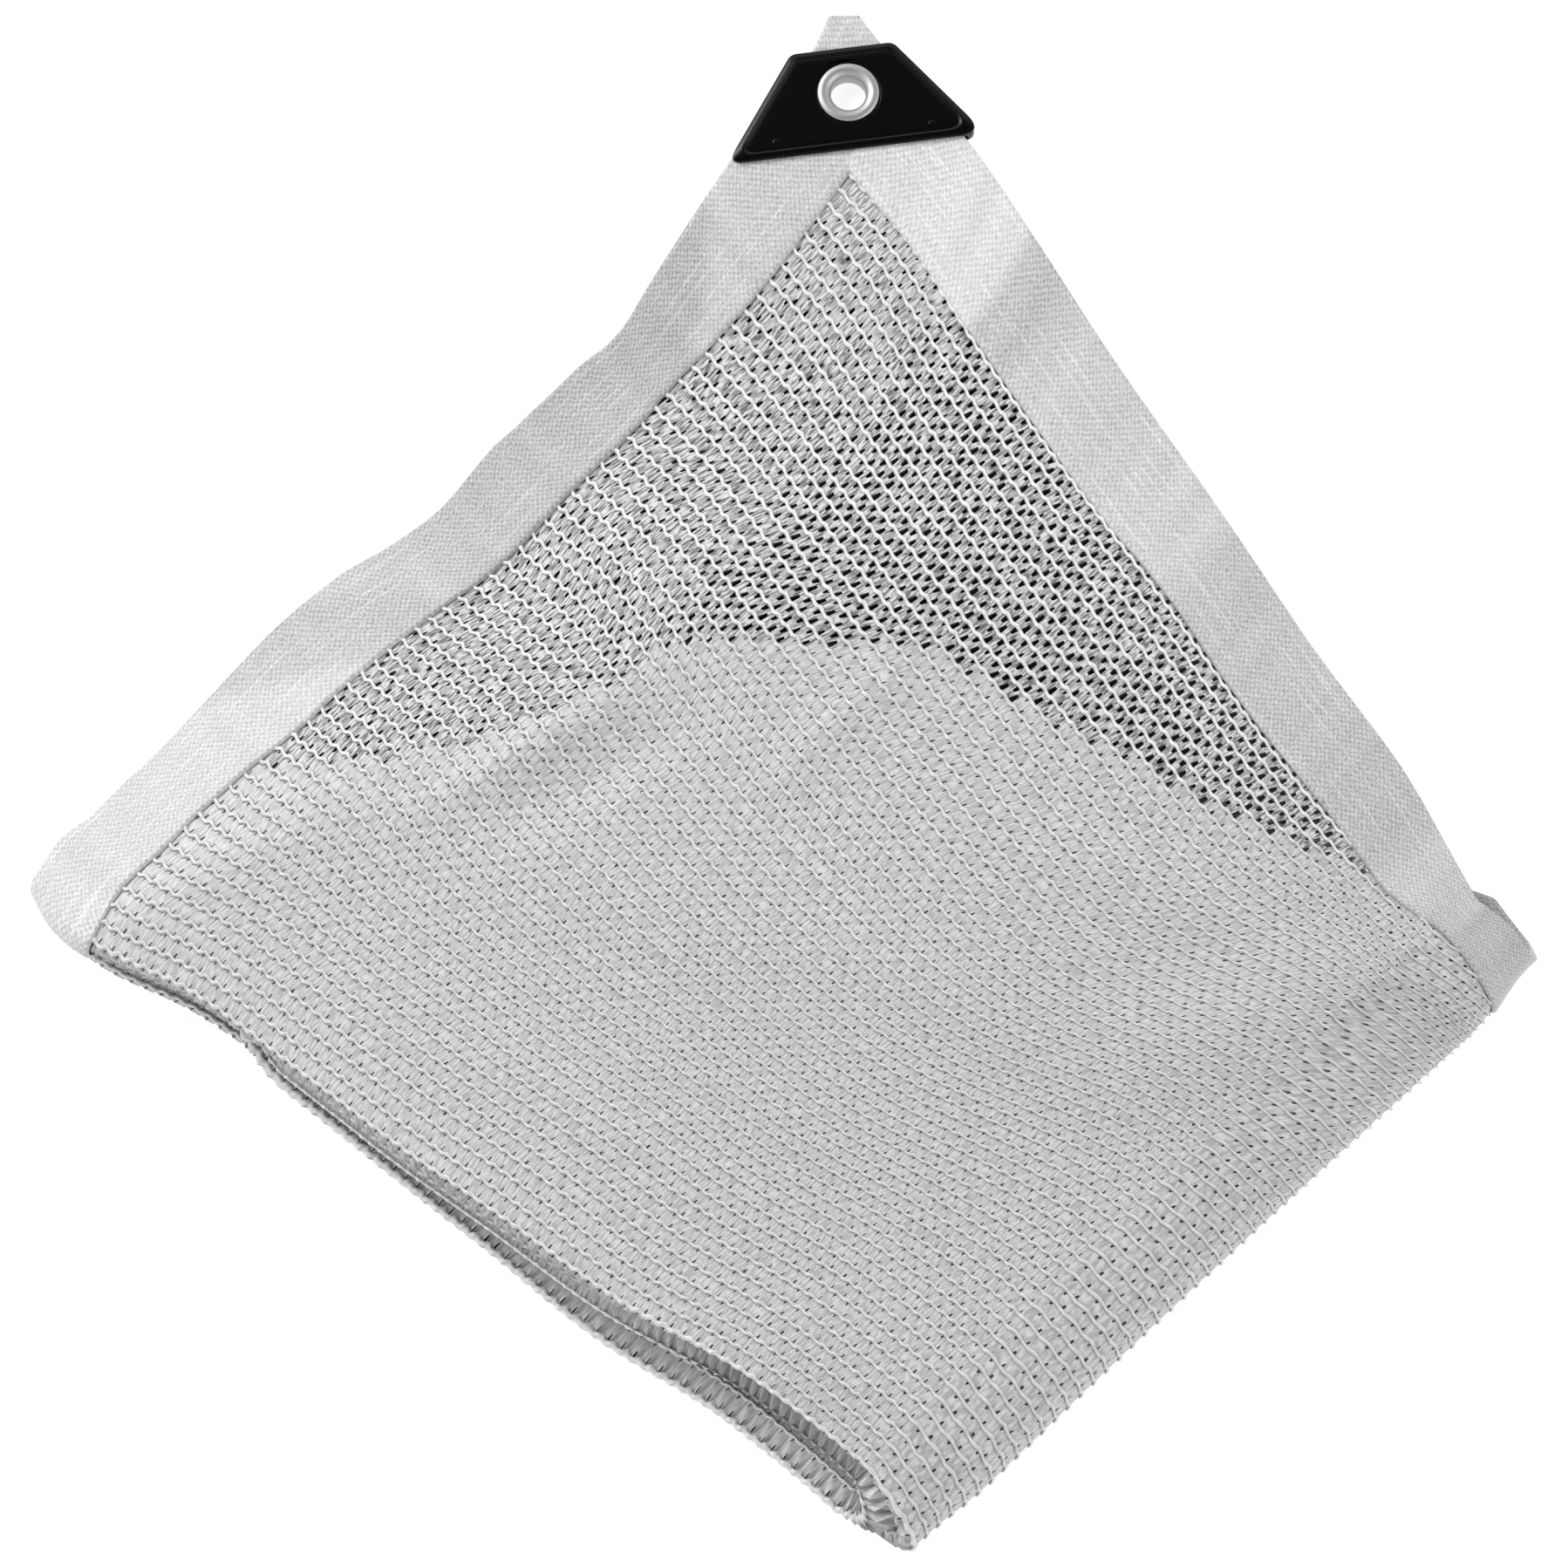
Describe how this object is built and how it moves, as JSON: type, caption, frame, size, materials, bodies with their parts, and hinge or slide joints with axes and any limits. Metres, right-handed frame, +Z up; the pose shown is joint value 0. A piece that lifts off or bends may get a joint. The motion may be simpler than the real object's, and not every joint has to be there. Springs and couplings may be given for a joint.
{
  "type": "folded knitted shade cloth",
  "caption": "Light grey knitted shade cloth folded into a flat packet, with woven bound edges and a black clamp plate with an eyelet at one corner.",
  "frame": {"origin": "on the floor under the middle of the packet's box", "axes": "+Z up; +X to the right and +Y away, as the packet lies with its eyelet corner furthest away"},
  "size_m": [0.5154, 0.554, 0.0445],
  "materials": {
    "net": "satin",
    "tape": "satin",
    "plate": "gloss",
    "eyelet": "satin"
  },
  "bodies": {
    "root": {"net_cloth": "net", "end_binding": "tape", "side_binding": "tape", "corner_plate_front": "plate", "corner_plate_back": "plate", "eyelet_ring": "eyelet", "eyelet_washer": "eyelet"}
  },
  "joints": []
}
